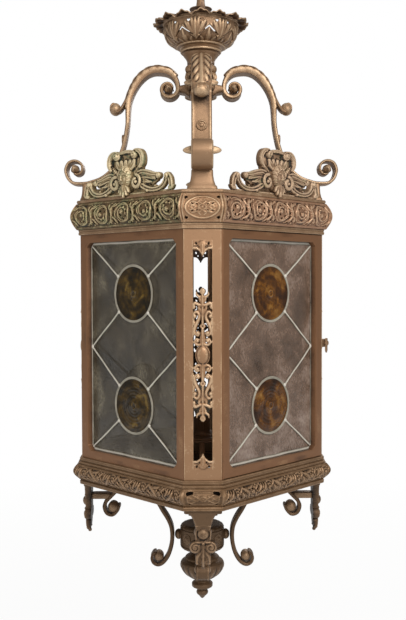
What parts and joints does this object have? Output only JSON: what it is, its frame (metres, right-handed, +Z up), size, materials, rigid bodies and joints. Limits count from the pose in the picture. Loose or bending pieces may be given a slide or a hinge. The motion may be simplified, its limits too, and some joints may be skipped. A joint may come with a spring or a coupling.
{
  "type": "hanging stained glass lantern",
  "caption": "Eight-sided hanging lantern: brass cage with leaded glass sides, scroll arms up to a leaf bowl, pendants and a finial below.",
  "frame": {"origin": "where the hanging ring bears on its hook: the inside of the ring's top", "axes": "+Z up along the stem, -Y out of the front corner pilaster, +X out of the right corner pilaster"},
  "size_m": [0.489, 0.489, 1.1546],
  "materials": {
    "bronze": "cast and sheet brass, aged brown with tan dust on its high places",
    "dark_bronze": "sheet brass, dark brown",
    "verdigris_bronze": "cast brass with green and cream patina",
    "lead": "pale weathered lead came",
    "clear_glass": "streaky hand-made sheet glass with a grey film",
    "amber_glass": "amber bullseye glass with a pontil mark",
    "opal_glass": "frosted white lamp glass"
  },
  "bodies": {
    "ring": {"hanging_ring": "bronze"},
    "lantern": {"suspension_stem": "bronze", "crown_collar": "dark_bronze", "crown_bowl": "bronze", "neck_hub": "bronze", "cornice_core": "dark_bronze", "base_ring": "bronze", "drum": "dark_bronze", "finial": "bronze", "lamp_platform": "dark_bronze", "lamp_bulb": "opal_glass", "arm_front": "bronze", "cornice_corner_front": "bronze", "pilaster_front": "bronze", "pendant_front": "bronze", "lower_scroll_front": "bronze", "arm_right": "bronze", "cornice_corner_right": "bronze", "pilaster_right": "bronze", "pendant_right": "bronze", "lower_scroll_right": "bronze", "arm_back": "bronze", "cornice_corner_back": "bronze", "pilaster_back": "bronze", "pendant_back": "bronze", "lower_scroll_back": "bronze", "arm_left": "bronze", "cornice_corner_left": "bronze", "pilaster_left": "bronze", "pendant_left": "bronze", "lower_scroll_left": "bronze", "cresting_front_right": "verdigris_bronze", "cornice_side_front_right": "verdigris_bronze", "cresting_back_right": "verdigris_bronze", "cornice_side_back_right": "verdigris_bronze", "side_frame_back_right": "bronze", "lead_cames_back_right": "lead", "clear_glass_back_right": "clear_glass", "roundel_upper_back_right": "amber_glass", "roundel_lower_back_right": "amber_glass", "cresting_back_left": "verdigris_bronze", "cornice_side_back_left": "verdigris_bronze", "side_frame_back_left": "bronze", "lead_cames_back_left": "lead", "clear_glass_back_left": "clear_glass", "roundel_upper_back_left": "amber_glass", "roundel_lower_back_left": "amber_glass", "cresting_front_left": "verdigris_bronze", "cornice_side_front_left": "verdigris_bronze", "side_frame_front_left": "bronze", "lead_cames_front_left": "lead", "clear_glass_front_left": "clear_glass", "roundel_upper_front_left": "amber_glass", "roundel_lower_front_left": "amber_glass"},
    "door": {"door_frame": "bronze", "lead_cames_front_right": "lead", "clear_glass_front_right": "clear_glass", "roundel_upper_front_right": "amber_glass", "roundel_lower_front_right": "amber_glass"},
    "latch": {"latch_button": "bronze"}
  },
  "joints": [
    {"name": "lantern_swing", "type": "hinge", "parent": "ring", "child": "lantern", "pos_m": [0, 0, -0.04], "axis": [1, 0, 0], "range_deg": [-20, 20]},
    {"name": "door_hinge", "type": "hinge", "parent": "lantern", "child": "door", "pos_m": [0.03063, -0.20908, -0.6825], "axis": [0, 0, -1], "range_deg": [0, 105]},
    {"name": "latch_turn", "type": "hinge", "parent": "lantern", "child": "latch", "pos_m": [0.22082, -0.02384, -0.678], "axis": [-0.7071, 0.7071, 0], "range_deg": [0, 90]}
  ]
}
